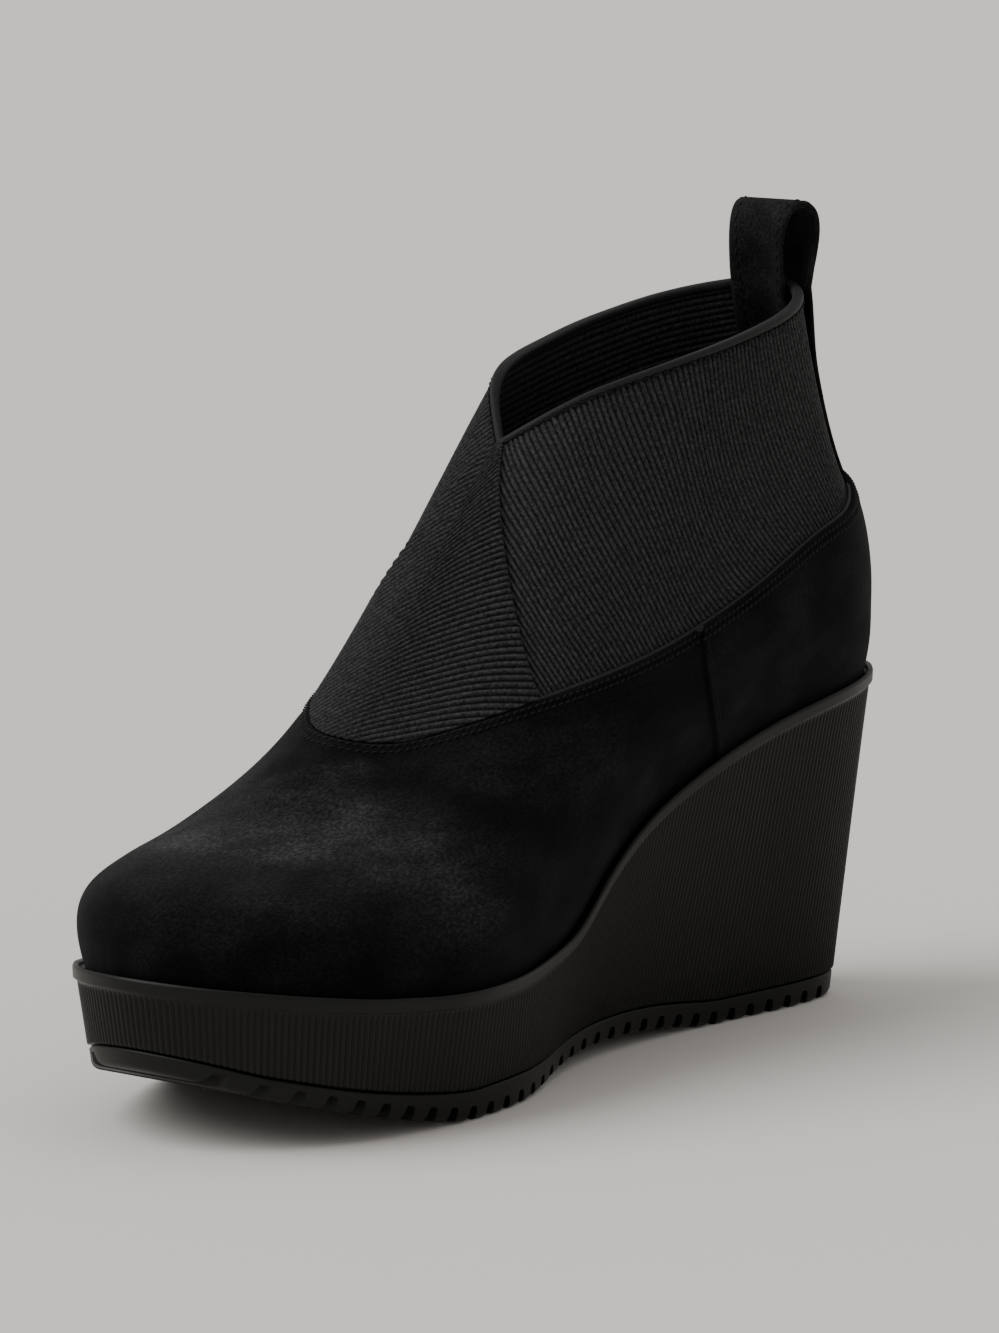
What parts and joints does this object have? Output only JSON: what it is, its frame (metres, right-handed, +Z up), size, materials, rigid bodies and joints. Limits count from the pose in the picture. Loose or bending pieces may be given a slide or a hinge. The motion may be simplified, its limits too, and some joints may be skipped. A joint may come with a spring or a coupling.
{
  "type": "platform wedge shoe",
  "caption": "Right pull-on ankle shoe of black suede with crossed ribbed elastic bands, a V-shaped collar, a heel pull loop and a ribbed rubber wedge platform.",
  "frame": {"origin": "on the floor, under the middle of the shoe's outline", "axes": "-Y toe, +Y heel, +X inner side of the foot, +Z up from the floor"},
  "size_m": [0.0893, 0.2378, 0.1777],
  "materials": {
    "black_suede": "brushed nap",
    "charcoal_elastic": "ribbed knit",
    "collar_tape": "smooth tape",
    "loop_suede": "brushed nap",
    "insole_leather": "matt",
    "unit_rubber": "satin, with fine upright ribs",
    "tread_rubber": "matt"
  },
  "bodies": {
    "root": {"upper": "black_suede", "crossing_band": "charcoal_elastic", "collar_binding": "collar_tape", "pull_loop": "loop_suede", "insole": "insole_leather", "wedge": "unit_rubber", "outsole": "tread_rubber"}
  },
  "joints": []
}
